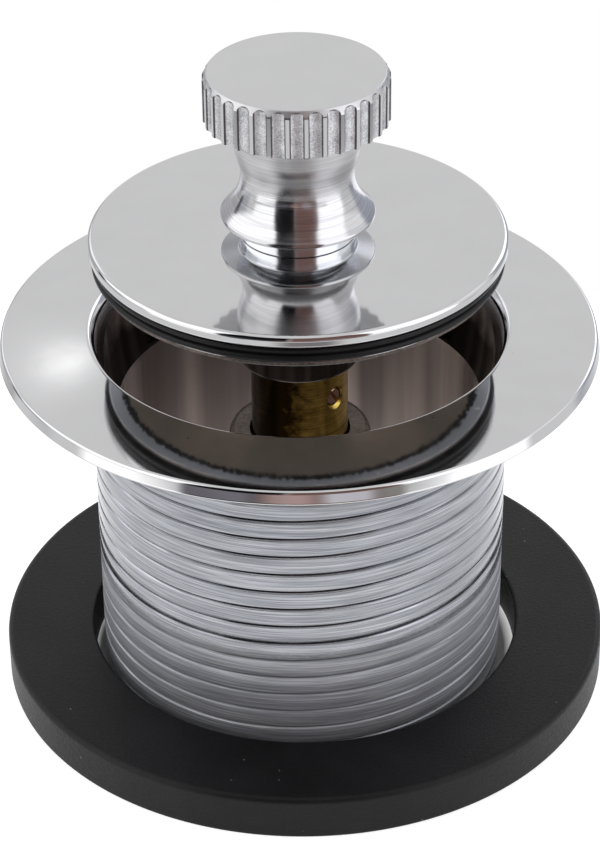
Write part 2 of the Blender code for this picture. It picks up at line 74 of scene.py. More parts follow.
# Roundings and small steps of the turned outlines, from the least to the most.
HAIR = 0.0001
FINE = 0.00012
EASED = 0.00015
CRISP = 0.0002
SOFT = 0.0003
FULL = 0.0005

# How far painted shade, painted light and other zones fade out, in metres, and specks, in shares.
SHADE_EDGE = 0.00012
ZONE_FADE = 0.0012
SPECK_EDGE = 1.6
SPECK_STEP = 0.01

# Ranges that are read from a share or from a noise.
UNIT: Range = (0.0, 1.0)
MIDDLE: Range = (0.3, 0.7)
WIDE: Range = (0.3, 0.75)
MOST: Range = (0.35, 0.7)
UPPER: Range = (0.4, 0.75)

# Colours that finishes lay over their own: white, dust and pits, and painted light and painted
# shade.
WHITE: Colour = (1.0, 1.0, 1.0)
# Painted light on the bowl's upper wall.
PAINTED_LIGHT: Colour = (0.93, 0.94, 0.97)
DUST: Colour = (0.4, 0.4, 0.4)
PIT: Colour = (0.08, 0.08, 0.08)
# Painted shade in the thread's roots and on the bowl's lower wall.
PAINTED_SHADE: Colour = (0.02, 0.018, 0.018)
# Painted shade at the flutes' top ends.
TOP_SHADE: Colour = (0.03, 0.02, 0.02)
# Painted shade down the post's left side.
SIDE_SHADE: Colour = (0.02, 0.011, 0.003)

# Colours of the metals.
CHROME: Colour = (0.585, 0.585, 0.59)
GREY: Colour = (0.42, 0.42, 0.44)
BRASS: Colour = (0.62, 0.46, 0.12)


class Body(Enum):
    """Groups of pieces that move together."""

    DRAIN = "drain"
    RING = "friction_ring"
    STOPPER = "stopper"
    WASHER = "washer"


class Axis(Enum):
    """Directions along which a grain can be drawn out, as scales of the coordinates."""

    ROUND = (1.0, 1.0, 60.0)
    UPRIGHT = (1.0, 1.0, 0.03)
    EVEN = (1.0, 1.0, 1.0)


def painted(colour: Any) -> Any:
    """Returns a colour with its alpha, or a socket as it is."""
    return colour if isinstance(colour, bpy.types.NodeSocket) else (*colour, 1.0)


def dimmed(colour: Colour, share: float) -> Colour:
    """Returns a colour at a share of its brightness."""
    red, green, blue = colour
    return (red * share, green * share, blue * share)


class Graph:
    """Node tree of a material or a world, built node by node."""

    def __init__(self, owner: Any) -> None:
        """Empties the tree of a material or a world."""
        owner.use_nodes = True
        self.tree = owner.node_tree
        self.tree.nodes.clear()

    def connect(self, node: Any, inputs: dict[Any, Any]) -> None:
        """Gives a node's inputs, by name or index, their values or links them to sockets."""
        for key, value in inputs.items():
            if isinstance(value, bpy.types.NodeSocket):
                self.tree.links.new(value, node.inputs[key])
            else:
                node.inputs[key].default_value = value

    def node(self, kind: str, inputs: dict[Any, Any], **settings: Any) -> Any:
        """Adds a node.

        Args:
            kind: The node's Blender type.
            inputs: Values or output sockets for its inputs, by name or index.
            settings: Its properties.

        Returns:
            The new node.
        """
        made = self.tree.nodes.new(kind)
        for key, value in settings.items():
            setattr(made, key, value)
        self.connect(made, inputs)
        return made

    def maths(self, operation: str, *values: Any) -> Any:
        """Adds a math node and returns its output socket."""
        return self.node("ShaderNodeMath", dict(enumerate(values)), operation=operation).outputs[0]

    def total(self, first: Any, second: Any) -> Any:
        """Adds two values and returns the socket of the sum."""
        return self.maths("ADD", first, second)

    def mix(self, share: Any, first: Any, second: Any) -> Any:
        """Lays a second colour over a first one by a share and returns the result's socket."""
        inputs = {0: share, 6: painted(first), 7: painted(second)}
        return self.node("ShaderNodeMix", inputs, data_type="RGBA").outputs[2]

    def span(
        self, value: Any, read: Range, start: float = 0.0, end: float = 1.0, easing: str = "LINEAR"
    ) -> Any:
        """Maps a value from one range to another, clamped.

        Args:
            value: The value's socket.
            read: The range that is read.
            start: Result at the start.
            end: Result at the end.
            easing: How the result runs from the one to the other.

        Returns:
            The socket of the result.
        """
        low, high = read
        inputs = {"Value": value, "From Min": low, "From Max": high}
        inputs |= {"To Min": start, "To Max": end}
        made = self.node("ShaderNodeMapRange", inputs, clamp=True, interpolation_type=easing)
        return made.outputs["Result"]


class Skin(Graph):
    """Node tree of a material with one shader, laid out in the object's own coordinates."""

    def __init__(self, name: str) -> None:
        """Starts a named material that holds a shader and an output."""
        self.material = bpy.data.materials.new(name)
        super().__init__(self.material)
        self.shader = self.node("ShaderNodeBsdfPrincipled", {})
        self.node("ShaderNodeOutputMaterial", {"Surface": self.shader.outputs["BSDF"]})

    def place(self, stretch: Axis = Axis.EVEN) -> Any:
        """Returns the socket of the object's own coordinates, drawn out along an axis."""
        coordinates = self.node("ShaderNodeTexCoord", {}).outputs["Object"]
        if stretch is Axis.EVEN:
            return coordinates
        inputs = {"Vector": coordinates, "Scale": stretch.value}
        return self.node("ShaderNodeMapping", inputs).outputs["Vector"]

    def noise(self, scale: float, detail: float = 2.0, stretch: Axis = Axis.EVEN) -> Any:
        """Returns the socket of a noise, in cycles per metre, drawn out along an axis."""
        inputs = {"Vector": self.place(stretch), "Scale": scale, "Detail": detail}
        return self.node("ShaderNodeTexNoise", inputs).outputs["Fac"]

    def mottled(self, noise: Any, colour: Colour, shade: Colour) -> Any:
        """Shades a colour where a noise is high and returns the result's socket."""
        return self.mix(self.span(noise, MOST), colour, shade)

    def specks(self, scale: float, size: float, rarity: float, strength: float) -> Any:
        """Scatters small round specks.

        Args:
            scale: Cells per metre, of which some hold a speck.
            size: A speck's radius as a share of its cell.
            rarity: Share of the cells that stay empty.
            strength: Value inside a speck.

        Returns:
            The socket of the specks' share.
        """
        cells = self.node("ShaderNodeTexVoronoi", {"Vector": self.place(), "Scale": scale})
        near = self.span(cells.outputs["Distance"], (size, size * SPECK_EDGE), 1.0, 0.0)
        split = self.node("ShaderNodeSeparateColor", {"Color": cells.outputs["Color"]})
        chosen = self.span(split.outputs[0], (rarity, rarity + SPECK_STEP), 0.0, strength)
        return self.maths("MULTIPLY", near, chosen)

    def part(self, name: str) -> Any:
        """Returns the socket of the object's X, Y or Z coordinate."""
        return self.node("ShaderNodeSeparateXYZ", {"Vector": self.place()}).outputs[name]

    def wavering(self, name: str, scale: float) -> Any:
        """Returns the socket of a coordinate that a noise, in cycles per metre, makes uneven."""
        waver = self.span(self.noise(scale, 3.0), MIDDLE, -ZONE_FADE, ZONE_FADE)
        return self.total(self.part(name), waver)

    def reach(self) -> Any:
        """Returns the socket of the distance from the drain's axis."""
        flat = self.node("ShaderNodeCombineXYZ", {"X": self.part("X"), "Y": self.part("Y")})
        length = self.node("ShaderNodeVectorMath", {0: flat.outputs[0]}, operation="LENGTH")
        return length.outputs["Value"]

    def bump(self, height: Any, depth: float, under: Any = None) -> Any:
        """Adds relief.

        Args:
            height: The socket of the height, from 0 to 1.
            depth: Depth of the relief in metres.
            under: The normal of a relief below this one.

        Returns:
            The socket of the normal.
        """
        inputs = {"Height": height, "Distance": depth}
        if under is not None:
            inputs["Normal"] = under
        return self.node("ShaderNodeBump", inputs).outputs["Normal"]

    def finish(self, tone: Any, gloss: Any, metal: Any, others: dict[str, Any]) -> Material:
        """Sets the shader's inputs, each to a value or a socket, and returns the material."""
        inputs = {"Base Color": painted(tone), "Roughness": gloss, "Metallic": metal}
        self.connect(self.shader, inputs | others)
        return self.material


@dataclass(frozen=True)
class Plated:
    """Chrome plate: a clear mirror with faint smudges, tiny pits and a little orange peel, and,
    where heights are given, painted shade low down and painted light high up.
    """

    name: str
    colour: Colour = CHROME
    roughness: float = 0.06
    smudge: float = 0.03
    lower_shade_height: float = 0.0
    frost_and_light_height: float = 0.0
    smudge_scale: float = 180.0
    lower_shade_scale: float = 260.0
    peel_scale: float = 700.0
    peel: float = 0.0000008
    pits: float = 0.6
    pit_scale: float = 420.0
    pit_size: float = 0.045
    pit_rarity: float = 0.97
    shading: float = 0.97
    lower_shade: float = 0.92
    frosting: float = 0.4

    def material(self) -> Material:
        """Makes the finish's material."""
        graph = Skin(self.name)
        cloud = graph.noise(self.smudge_scale, 3.0)
        tone = graph.mottled(cloud, self.colour, dimmed(self.colour, self.shading))
        pits = graph.specks(self.pit_scale, self.pit_size, self.pit_rarity, self.pits)
        tone = graph.mix(pits, tone, PIT)
        # Painted shade: below a wavering height the tone darkens, as the bowl's lower wall lies in
        # shadow under the stopper.
        if self.lower_shade_height > 0.0:
            zone = (self.lower_shade_height - ZONE_FADE, self.lower_shade_height + ZONE_FADE)
            shaded = graph.span(graph.wavering("Z", self.lower_shade_scale), zone, self.lower_shade, 0.0)
            tone = graph.mix(shaded, tone, PAINTED_SHADE)
        gloss = graph.span(cloud, UPPER, self.roughness, self.roughness + self.smudge)
        # A rougher finish with painted light: above a height the tone turns near white, as the
        # bowl's upper wall catches light through the gap under the stopper.
        if self.frost_and_light_height > 0.0:
            zone = (self.frost_and_light_height, self.frost_and_light_height + 2 * ZONE_FADE)
            frost_and_light = graph.span(graph.part("Z"), zone)
            tone = graph.mix(frost_and_light, tone, PAINTED_LIGHT)
            gloss = graph.total(gloss, graph.span(frost_and_light, UNIT, 0.0, self.frosting))
        normal = graph.bump(graph.noise(self.peel_scale, 1.0), self.peel)
        return graph.finish(tone, gloss, 1.0, {"Normal": normal})


@dataclass(frozen=True)
class Turned:
    """Metal left as the lathe cut it, with fine rings round its axis."""

    name: str
    colour: Colour
    shade: Colour
    roughness: float = 0.2
    rings: float = 90.0
    depth: float = 0.000012
    stretch: Axis = Axis.ROUND
    metallic: float = 1.0
    root_shade_radius: float = 0.0
    blotch: float = 0.0
    side_shade: float = 0.0
    dull_below: float = 0.0
    dull_above: float = 0.0
    cloud_scale: float = 320.0
    blotch_scale: float = 150.0
    side_shade_scale: float = 900.0
    blotch_shade: float = 0.25
    darkening: float = 0.6
    dull_gloss: float = 0.2
    dull_metal: float = 0.4
    frosting: float = 0.17
    smudge: float = 0.1
    blotch_edge: Range = (0.4, 0.56)
    broad_rings: float = 0.22
    broad_depth: float = 1.5

    def material(self) -> Material:
        """Makes the finish's material."""
        graph = Skin(self.name)
        fine = graph.noise(self.rings, 4.0, self.stretch)
        broad = graph.noise(self.rings * self.broad_rings, 2.0, self.stretch)
        cloud = graph.noise(self.cloud_scale, 3.0)
        tone = graph.mottled(fine, self.colour, self.shade)
        if self.blotch > 0.0:
            patches = graph.noise(self.blotch_scale, 2.0, self.stretch)
            share = graph.span(patches, self.blotch_edge, 0.0, self.blotch)
            tone = graph.mix(share, tone, dimmed(self.shade, self.blotch_shade))
        # Painted shade: the side towards -X darkens, as the post's left side lies in shadow under
        # the stopper.
        if self.side_shade > 0.0:
            across = graph.wavering("X", self.side_shade_scale)
            shaded = graph.span(across, (-ZONE_FADE, 2 * ZONE_FADE), self.side_shade, 0.0)
            tone = graph.mix(shaded, tone, SIDE_SHADE)
        # Painted shade: within a radius, at the thread's roots, the tone darkens, as the grooves
        # lie in shadow.
        if self.root_shade_radius > 0.0:
            zone = (self.root_shade_radius, self.root_shade_radius + SHADE_EDGE)
            tone = graph.mix(graph.span(graph.reach(), zone, self.darkening, 0.0), tone, PAINTED_SHADE)
        gloss = graph.span(cloud, WIDE, self.roughness, self.roughness + self.smudge)
        metal: Any = self.metallic
        if self.dull_below > 0.0:
            zone = (self.dull_below - 2 * ZONE_FADE, self.dull_below)
            rise = graph.span(graph.part("Z"), zone)
            gloss = graph.total(gloss, graph.span(rise, UNIT, self.dull_gloss, 0.0))
            metal = graph.span(rise, UNIT, self.dull_metal, self.metallic)
        if self.dull_above > 0.0:
            zone = (self.dull_above, self.dull_above + ZONE_FADE)
            gloss = graph.total(gloss, graph.span(graph.part("Z"), zone, 0.0, self.frosting))
        under = graph.bump(broad, self.depth * self.broad_depth)
        normal = graph.bump(fine, self.depth, under)
        return graph.finish(tone, gloss, metal, {"Normal": normal})


@dataclass(frozen=True)
class Grained:
    """Metal with a granular skin, as cast or as left between the knob's ridges."""

    name: str
    colour: Colour
    shade: Colour
    roughness: float = 0.34
    grain: float = 6000.0
    depth: float = 0.00004
    shade_above: float = 0.0
    top_shade_share: float = 0.85
    clouds: float = 0.12
    fineness: float = 0.6
    smudge: float = 0.12

    def material(self) -> Material:
        """Makes the finish's material."""
        graph = Skin(self.name)
        fine = graph.noise(self.grain, 3.0)
        cloud = graph.noise(self.grain * self.clouds, 2.0)
        near = graph.span(fine, MIDDLE, 0.0, self.fineness)
        far = graph.span(cloud, MIDDLE, 0.0, 1.0 - self.fineness)
        tone = graph.mix(graph.total(near, far), self.shade, self.colour)
        # Painted shade: above a height near the top, the flutes darken in a dark arc at each
        # flute's end.
        if self.shade_above > 0.0:
            zone = (self.shade_above, self.shade_above + SHADE_EDGE)
            share = graph.span(graph.part("Z"), zone, 0.0, self.top_shade_share)
            tone = graph.mix(share, tone, TOP_SHADE)
        gloss = graph.span(fine, MIDDLE, self.roughness + self.smudge, self.roughness)
        return graph.finish(tone, gloss, 1.0, {"Normal": graph.bump(fine, self.depth)})


@dataclass(frozen=True)
class Ringed:
    """Polished sheet metal with a satin lip, and a dark ragged ring where the lip begins."""

    name: str
    colour: Colour = (0.70, 0.61, 0.51)
    darkening: Colour = (0.012, 0.012, 0.013)
    lip: Colour = (0.84, 0.89, 0.97)
    radius: float = 0.0207
    spread: float = 0.0003
    ragged_scale: float = 2200.0
    cloud_scale: float = 500.0
    shading: float = 0.9
    gloss: Range = (0.08, 0.24)
    metal: Range = (0.55, 0.5)
    ring_gloss: float = 0.3
    smudge: float = 0.04

    def material(self) -> Material:
        """Makes the finish's material."""
        graph = Skin(self.name)
        ragged = graph.noise(self.ragged_scale, 4.0)
        waver = graph.span(ragged, MIDDLE, -self.spread, self.spread)
        away = graph.total(graph.total(graph.reach(), waver), -self.radius)
        zone = (self.spread, self.spread * 1.5)
        share = graph.span(graph.maths("ABSOLUTE", away), zone, 1.0, 0.0)
        cloud = graph.noise(self.cloud_scale, 3.0)
        tone = graph.mottled(cloud, self.colour, dimmed(self.colour, self.shading))
        outer = graph.span(away, (0.0, self.spread * 0.5))
        tone = graph.mix(share, graph.mix(outer, tone, self.lip), self.darkening)
        dull = graph.span(share, UNIT, 0.0, self.ring_gloss)
        rough = graph.total(dull, graph.span(outer, UNIT, *self.gloss))
        gloss = graph.total(rough, graph.span(cloud, (0.4, 0.7), 0.0, self.smudge))
        return graph.finish(tone, gloss, graph.span(outer, UNIT, *self.metal), {})


@dataclass(frozen=True)
class Rubber:
    """Moulded rubber with a fine grain, faint bloom and pale dust."""

    name: str
    colour: Colour
    bloom: Colour
    roughness: float = 0.40
    grain: float = 2600.0
    depth: float = 0.00004
    dust: float = 0.5
    specular: float = 0.2
    dust_scale: float = 750.0
    dust_size: float = 0.05
    dust_rarity: float = 0.9
    clouds: float = 0.05
    smudge: float = 0.12

    def material(self) -> Material:
        """Makes the finish's material."""
        graph = Skin(self.name)
        fine = graph.noise(self.grain, 4.0)
        cloud = graph.noise(self.grain * self.clouds, 3.0)
        base = graph.mix(graph.span(cloud, UPPER), self.colour, self.bloom)
        dust = graph.specks(self.dust_scale, self.dust_size, self.dust_rarity, self.dust)
        tone = graph.mix(dust, base, DUST)
        gloss = graph.span(fine, MIDDLE, self.roughness, self.roughness + self.smudge)
        others = {"Normal": graph.bump(fine, self.depth), "Specular IOR Level": self.specular}
        return graph.finish(tone, gloss, 0.0, others)


@dataclass(frozen=True)
class Moulded:
    """Plain moulded plastic with a faint grain."""

    name: str
    colour: Colour
    shade: Colour
    cloud_scale: float = 900.0
    grain: float = 4000.0
    depth: float = 0.00001
    gloss: Range = (0.4, 0.55)

    def material(self) -> Material:
        """Makes the finish's material."""
        graph = Skin(self.name)
        cloud = graph.noise(self.cloud_scale, 3.0)
        tone = graph.mottled(cloud, self.colour, self.shade)
        gloss = graph.span(cloud, MIDDLE, *self.gloss)
        normal = graph.bump(graph.noise(self.grain), self.depth)
        return graph.finish(tone, gloss, 0.0, {"Normal": normal})


@dataclass(frozen=True)
class Corner:
    """Corner of a turned outline, with the width that its rounding takes on each side."""

    radius: float
    height: float
    rounding: float = 0.0


def supported(corners: Sequence[Corner], closed: bool) -> list[Corner]:
    """Adds a corner just outside each rounding, so that the flats beside it stay flat.

    Args:
        corners: The outline's corners.
        closed: Whether the last corner runs back to the first.

    Returns:
        The outline with its support corners.
    """
    result: list[Corner] = []
    count = len(corners)
    for index, corner in enumerate(corners):
        here = Vector((corner.radius, corner.height))
        sides: list[list[Corner]] = []
        for step in (-1, 1):
            other = index + step
            if corner.rounding == 0.0 or (not closed and not 0 <= other < count):
                sides.append([])
                continue
            beside = corners[other % count]
            along = Vector((beside.radius, beside.height)) - here
            reach = corner.rounding + SUPPORT
            if along.length < reach + beside.rounding + 2 * SUPPORT:
                sides.append([])
                continue
            point = here + along.normalized() * reach
            sides.append([Corner(point.x, point.y)])
        result += [*sides[0], corner, *sides[1]]
    return result


def arc(start: Corner, end: Corner, bulge: float, facets: int) -> list[Corner]:
    """Bows a wall between two corners.

    Args:
        start: Where the wall starts.
        end: Where it ends.
        bulge: Height of the bow, to the left of the way.
        facets: How many facets the wall takes.

    Returns:
        The corners between the two ends.
    """
    across, up = end.radius - start.radius, end.height - start.height
    length = math.hypot(across, up)
    radius = (length * length / 4 + bulge * bulge) / (2 * bulge)
    sweep = 2 * math.asin(length / 2 / radius)
    points = []
    for facet in range(1, facets):
        angle = sweep * (facet / facets - 0.5)
        along = length / 2 + radius * math.sin(angle)
        away = bulge - radius * (1 - math.cos(angle))
        points.append(Corner(
            start.radius + (across * along - up * away) / length,
            start.height + (up * along + across * away) / length,
        ))
    return points


def spin(
    shape: Mesh, points: Sequence[Corner], closed: bool, steps: int, rise: float = 0.0
) -> None:
    """Spins an outline once about the Z axis.

    Args:
        shape: The shape that takes it.
        points: The outline, in the XZ plane.
        closed: Whether the outline is a loop.
        steps: Facets round the axis.
        rise: How far the outline climbs on the way. One that climbs stays open.
    """
    verts = [shape.verts.new((point.radius, 0.0, point.height)) for point in points]
    edges = [shape.edges.new(pair) for pair in zip(verts, verts[1:])]
    if closed:
        edges.append(shape.edges.new((verts[-1], verts[0])))
    bmesh.ops.spin(
        shape, geom=[*verts, *edges], cent=(0.0, 0.0, 0.0), axis=(0.0, 0.0, 1.0),
        dvec=(0.0, 0.0, rise / steps), angle=2 * math.pi, steps=steps,
        use_merge=rise == 0.0, use_duplicate=False,
    )


def turn(corners: Sequence[Corner], closed: bool = True, steps: int = ROUND_STEPS) -> Mesh:
    """Spins an outline about the Z axis and rounds its corners.

    Args:
        corners: The outline, in the XZ plane.
        closed: Whether the outline is a loop. An open one ends on the axis.
        steps: Facets round the axis.

    Returns:
        The closed shape.
    """
    shape = bmesh.new()
    spin(shape, supported(corners, closed), closed, steps)
    bmesh.ops.remove_doubles(shape, verts=shape.verts, dist=TOLERANCE)
    bmesh.ops.recalc_face_normals(shape, faces=shape.faces)
    for corner in corners:
        if corner.rounding > 0.0:
            bevel(shape, ring(shape, corner), corner.rounding)
    return shape


def ring(shape: Mesh, corner: Corner) -> list[Edge]:
    """Returns the edges that run round the axis through a corner of the outline."""

    def on_corner(vert: Vert) -> bool:
        """Tells whether a vertex lies on the corner's circle."""
        away = math.hypot(vert.co.x, vert.co.y) - corner.radius
        return abs(away) < TOLERANCE * 10 and abs(vert.co.z - corner.height) < TOLERANCE * 10

    return [edge for edge in shape.edges if all(on_corner(vert) for vert in edge.verts)]


def bevel(shape: Mesh, edges: Iterable[Any], width: float) -> None:
    """Rounds edges.

    Args:
        shape: The shape that holds them.
        edges: The edges.
        width: How far the rounding reaches on each side.
    """
    bmesh.ops.bevel(
        shape, geom=list(edges), offset=width, offset_type="OFFSET", segments=ROUNDING_FACETS,
        profile=0.5, affect="EDGES", clamp_overlap=True, material=-1,
    )


def piece(name: str, shape: Mesh, finishes: Sequence[Material]) -> bpy.types.Object:
    """Makes an object from a shape, shades it and gives it its finishes.

    Args:
        name: The object's name.
        shape: The shape, which is freed.
        finishes: The materials of its slots.

    Returns:
        The object.
    """
    mesh = bpy.data.meshes.new(name)
    shape.to_mesh(mesh)
    shape.free()
    mesh.shade_smooth()
    mesh.set_sharp_from_angle(angle=SMOOTH_ANGLE)
    for finish in finishes:
        mesh.materials.append(finish)
    made = bpy.data.objects.new(name, mesh)
    bpy.context.scene.collection.objects.link(made)
    return made


def carved(body: Mesh, tool: Mesh) -> Mesh:
    """Cuts one shape out of another.

    Args:
        body: The shape that is cut, which is freed.
        tool: The shape that cuts it, which is freed.

    Returns:
        The resulting shape.
    """
    main = piece("work", body, [])
    helper = piece("tool", tool, [])
    change = main.modifiers.new("cut", "BOOLEAN")
    change.operation = "DIFFERENCE"
    change.solver = "EXACT"
    change.object = helper
    bpy.context.view_layer.update()
    evaluated = main.evaluated_get(bpy.context.evaluated_depsgraph_get())
    mesh = bpy.data.meshes.new_from_object(evaluated)
    result = bmesh.new()
    result.from_mesh(mesh)
    bpy.data.meshes.remove(mesh)
    for item in (main, helper):
        data = item.data
        bpy.data.objects.remove(item)
        bpy.data.meshes.remove(data)
    bmesh.ops.remove_doubles(result, verts=result.verts, dist=TOLERANCE)
    return result


@dataclass
class Assembly:
    """Pieces that belong to one body of the drain."""

    finishes: dict[str, Material]
    body: Body
    made: list[bpy.types.Object] = field(default_factory=list, init=False)

    def fit(
        self, name: str, shape: Mesh, looks: Sequence[str], node: str, slot: str,
        region: Region | None = None,
    ) -> None:
        """Makes a piece and puts it in the drain.

        Args:
            name: The piece's name.
            shape: Its shape, which is freed.
            looks: Its finishes, by name.
            node: The solid that it stands for.
            slot: The material slot that it takes its finish from. Not used.
            region: Returns a face's finish from its centre and normal.
        """
        shape.normal_update()
        if region is not None:
            for face in shape.faces:
                face.material_index = looks.index(region(face.calc_center_median(), face.normal))
        item = piece(name, shape, [self.finishes[look] for look in looks])
        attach(item, self.body.value)
        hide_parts(node)
        self.made.append(item)

    def dress(self, node: str, look: str) -> None:
        """Gives a solid that stays in the scene its finish."""
        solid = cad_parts[node]
        solid.data.materials.clear()
        solid.data.materials.append(self.finishes[look])
        self.made.append(solid)

    def report(self) -> None:
        """Logs each piece of the assembly."""
        for item in self.made:
            LOG.info("%s: %s, %d faces", self.body.value, item.name, len(item.data.polygons))


@dataclass
class Drain(Assembly):
    """Casting with its flange, bowl and threaded barrel, and the post that stands in it."""

    body: Body = Body.DRAIN
    flange_radius: float = 0.03407
    crease_radius: float = 0.03373
    flange_top: float = 0.0453
    flange_base: float = 0.04355
    flange_crown: float = 0.00025
    crease_rounding: float = 0.00025
    neck_rise: float = 0.0007
    mouth_radius: float = 0.02377
    seat_radius: float = 0.02325
    seat_height: float = 0.0447
    bowl_foot_radius: float = 0.0209
    bowl_foot: float = 0.0357
    bowl_bulge: float = 0.00036
    bowl_facets: int = 16
    throat_radius: float = 0.0207
    neck_radius: float = 0.0238
    core_radius: float = 0.02255
    root_radius: float = 0.0235
    crest_radius: float = 0.0238
    pitch: float = 0.00236
    thread_foot: float = 0.0008
    thread_lead_in: float = 0.00025
    thread_top: float = 0.03885
    thread_runout: float = 0.0004
    thread_steps: int = 128
    spare_turns: int = 3
    thread_profile: tuple[tuple[float, float], ...] = (
        (0.0, 0.0), (0.0, 0.004), (0.04, 0.010), (0.14, 0.018), (0.86, 0.078), (0.96, 0.090),
        (1.0, 0.112),
    )
    post_radius: float = 0.00555
    post_bore: float = 0.0045
    post_base: float = 0.0228
    post_top: float = 0.0424
    screw_height: float = 0.0378
    screw_azimuth: float = math.radians(-42)
    screw_radius: float = 0.0010
    screw_length: float = 0.0020
    screw_sunk: float = 0.0003
    screw_rounding: float = 0.00018
    screw_hole_steps: int = 48
    screw_steps: int = 64
    screw_countersink: float = 0.00035
    slot_width: float = 0.0004
    slot_depth: float = 0.0006
    slot_tilt: float = math.radians(35)

    def build(self) -> None:
        """Builds every piece of the drain."""
        self.casting()
        self.thread()
        self.post()
        self.screw()
        self.dress("crossbar", "cast")
        self.dress("guide_bush", "nylon")

    def casting(self) -> None:
        """Turns the flange, bowl, throat and barrel core in one piece."""
        seat = Corner(self.seat_radius, self.seat_height, SOFT)
        foot = Corner(self.bowl_foot_radius, self.bowl_foot)
        shape = turn([
            Corner(self.crease_radius, self.flange_top - self.flange_crown, self.crease_rounding),
            Corner(self.flange_radius, self.flange_base + HAIR, HAIR),
            Corner(self.flange_radius - HAIR, self.flange_base),
            Corner(self.neck_radius, self.flange_base, FULL),
            Corner(self.neck_radius, self.thread_top + self.neck_rise),
            Corner(self.core_radius, self.thread_top + HAIR),
            Corner(self.core_radius, HAIR, HAIR),
            Corner(self.core_radius - CRISP, 0.0),
            Corner(self.throat_radius + SOFT, 0.0),
            Corner(self.throat_radius, SOFT),
            Corner(self.throat_radius, self.bowl_foot - 2 * SOFT),
            foot,
            *reversed(arc(seat, foot, self.bowl_bulge, self.bowl_facets)),
            seat,
            Corner(self.mouth_radius, self.flange_top + self.flange_crown, SOFT),
        ])

        def region(centre: Vector, normal: Vector) -> str:
            """Returns the finish of the unplated throat, the bowl or the plated rest."""
            away = math.hypot(centre.x, centre.y)
            if away < self.bowl_foot_radius + TOLERANCE and centre.z < self.bowl_foot + TOLERANCE:
                return "throat"
            return "bowl" if away < self.seat_radius and centre.z > self.bowl_foot else "chrome"

        looks = ("chrome", "throat", "bowl")
        self.fit("drain_casting", shape, looks, "drain_body", "body_chrome", region)

    def thread(self) -> None:
        """Winds the barrel's thread as a sleeve over its core."""
        threaded = self.thread_top - self.thread_foot
        turns = math.ceil(threaded / self.pitch) + self.spare_turns
        depth = self.crest_radius - self.root_radius
        half = self.thread_profile
        outline = (*half, *((out, 1.0 - along) for out, along in reversed(half)))
        base = self.thread_foot - self.spare_turns / 2 * self.pitch
        points = [
            Corner(self.root_radius + depth * out, base + self.pitch * along)
            for out, along in outline
        ]
        shape = bmesh.new()
        spin(shape, points, False, self.thread_steps, self.pitch)
        first = [*shape.verts, *shape.edges, *shape.faces]
        for index in range(1, turns):
            copied = bmesh.ops.duplicate(shape, geom=first)["geom"]
            lifted = [item for item in copied if isinstance(item, Vert)]
            bmesh.ops.translate(shape, vec=(0.0, 0.0, index * self.pitch), verts=lifted)
        bmesh.ops.remove_doubles(shape, verts=shape.verts, dist=20 * TOLERANCE)
        ends = (
            (self.thread_foot, -1.0, self.thread_lead_in),
            (self.thread_top, 1.0, self.thread_top + self.thread_runout),
        )
        for height, side, end in ends:
            cut = bmesh.ops.bisect_plane(
                shape, geom=[*shape.verts, *shape.edges, *shape.faces], dist=TOLERANCE,
                plane_co=(0.0, 0.0, height), plane_no=(0.0, 0.0, side), clear_outer=True,
            )["geom_cut"]
            rim = [item for item in cut if isinstance(item, Edge)]
            rim = self.stepped(shape, rim, self.core_radius + 0.3 * HAIR, end)
            self.stepped(shape, rim, self.core_radius - CRISP, end)
        open_edges = [edge for edge in shape.edges if edge.is_boundary]
        bmesh.ops.bridge_loops(shape, edges=open_edges)
        bmesh.ops.recalc_face_normals(shape, faces=shape.faces)
        self.fit("barrel_thread", shape, ["thread"], "drain_body", "body_chrome")

    def stepped(
        self, shape: Mesh, rim: list[Edge], radius: float, height: float
    ) -> list[Edge]:
        """Extrudes a rim to a circle.

        Args:
            shape: The shape that holds the rim.
            rim: The edges of the rim.
            radius: The circle's radius.
            height: The circle's height.

        Returns:
            The edges of the circle.
        """
        grown = bmesh.ops.extrude_edge_only(shape, edges=rim)["geom"]
        for vert in (item for item in grown if isinstance(item, Vert)):
            away = math.hypot(vert.co.x, vert.co.y)
            vert.co = (vert.co.x * radius / away, vert.co.y * radius / away, height)
        return [item for item in grown if isinstance(item, Edge) and item.is_boundary]

    def aimed(self, shape: Mesh) -> Mesh:
        """Lays a shape that was turned about Z along the set screw's line."""
        lie = Matrix.Rotation(math.pi / 2, 4, "Y")
        swing = Matrix.Rotation(self.screw_azimuth, 4, "Z")
        lift = Matrix.Translation((0.0, 0.0, self.screw_height))
        bmesh.ops.transform(shape, matrix=lift @ swing @ lie, verts=shape.verts)
        return shape

    def post(self) -> None:
        """Turns the brass post and bores the set screw's hole in it."""
        tube = turn([
            Corner(self.post_radius, self.post_top, SOFT),
            Corner(self.post_radius, self.post_base, SOFT),
            Corner(self.post_bore, self.post_base, HAIR),
            Corner(self.post_bore, self.post_top, HAIR),
        ], steps=TUBE_STEPS)
        hole = self.screw_radius + FINE
        outside = self.post_radius + OVERRUN
        tool = turn([
            Corner(0.0, outside),
            Corner(hole + self.screw_countersink + OVERRUN, outside),
            Corner(hole, self.post_radius - self.screw_countersink),
            Corner(hole, 2 * FULL),
            Corner(0.0, 2 * FULL),
        ], closed=False, steps=self.screw_hole_steps)
        shape = carved(tube, self.aimed(tool))
        self.fit("brass_post", shape, ["post"], "post", "post_brass")

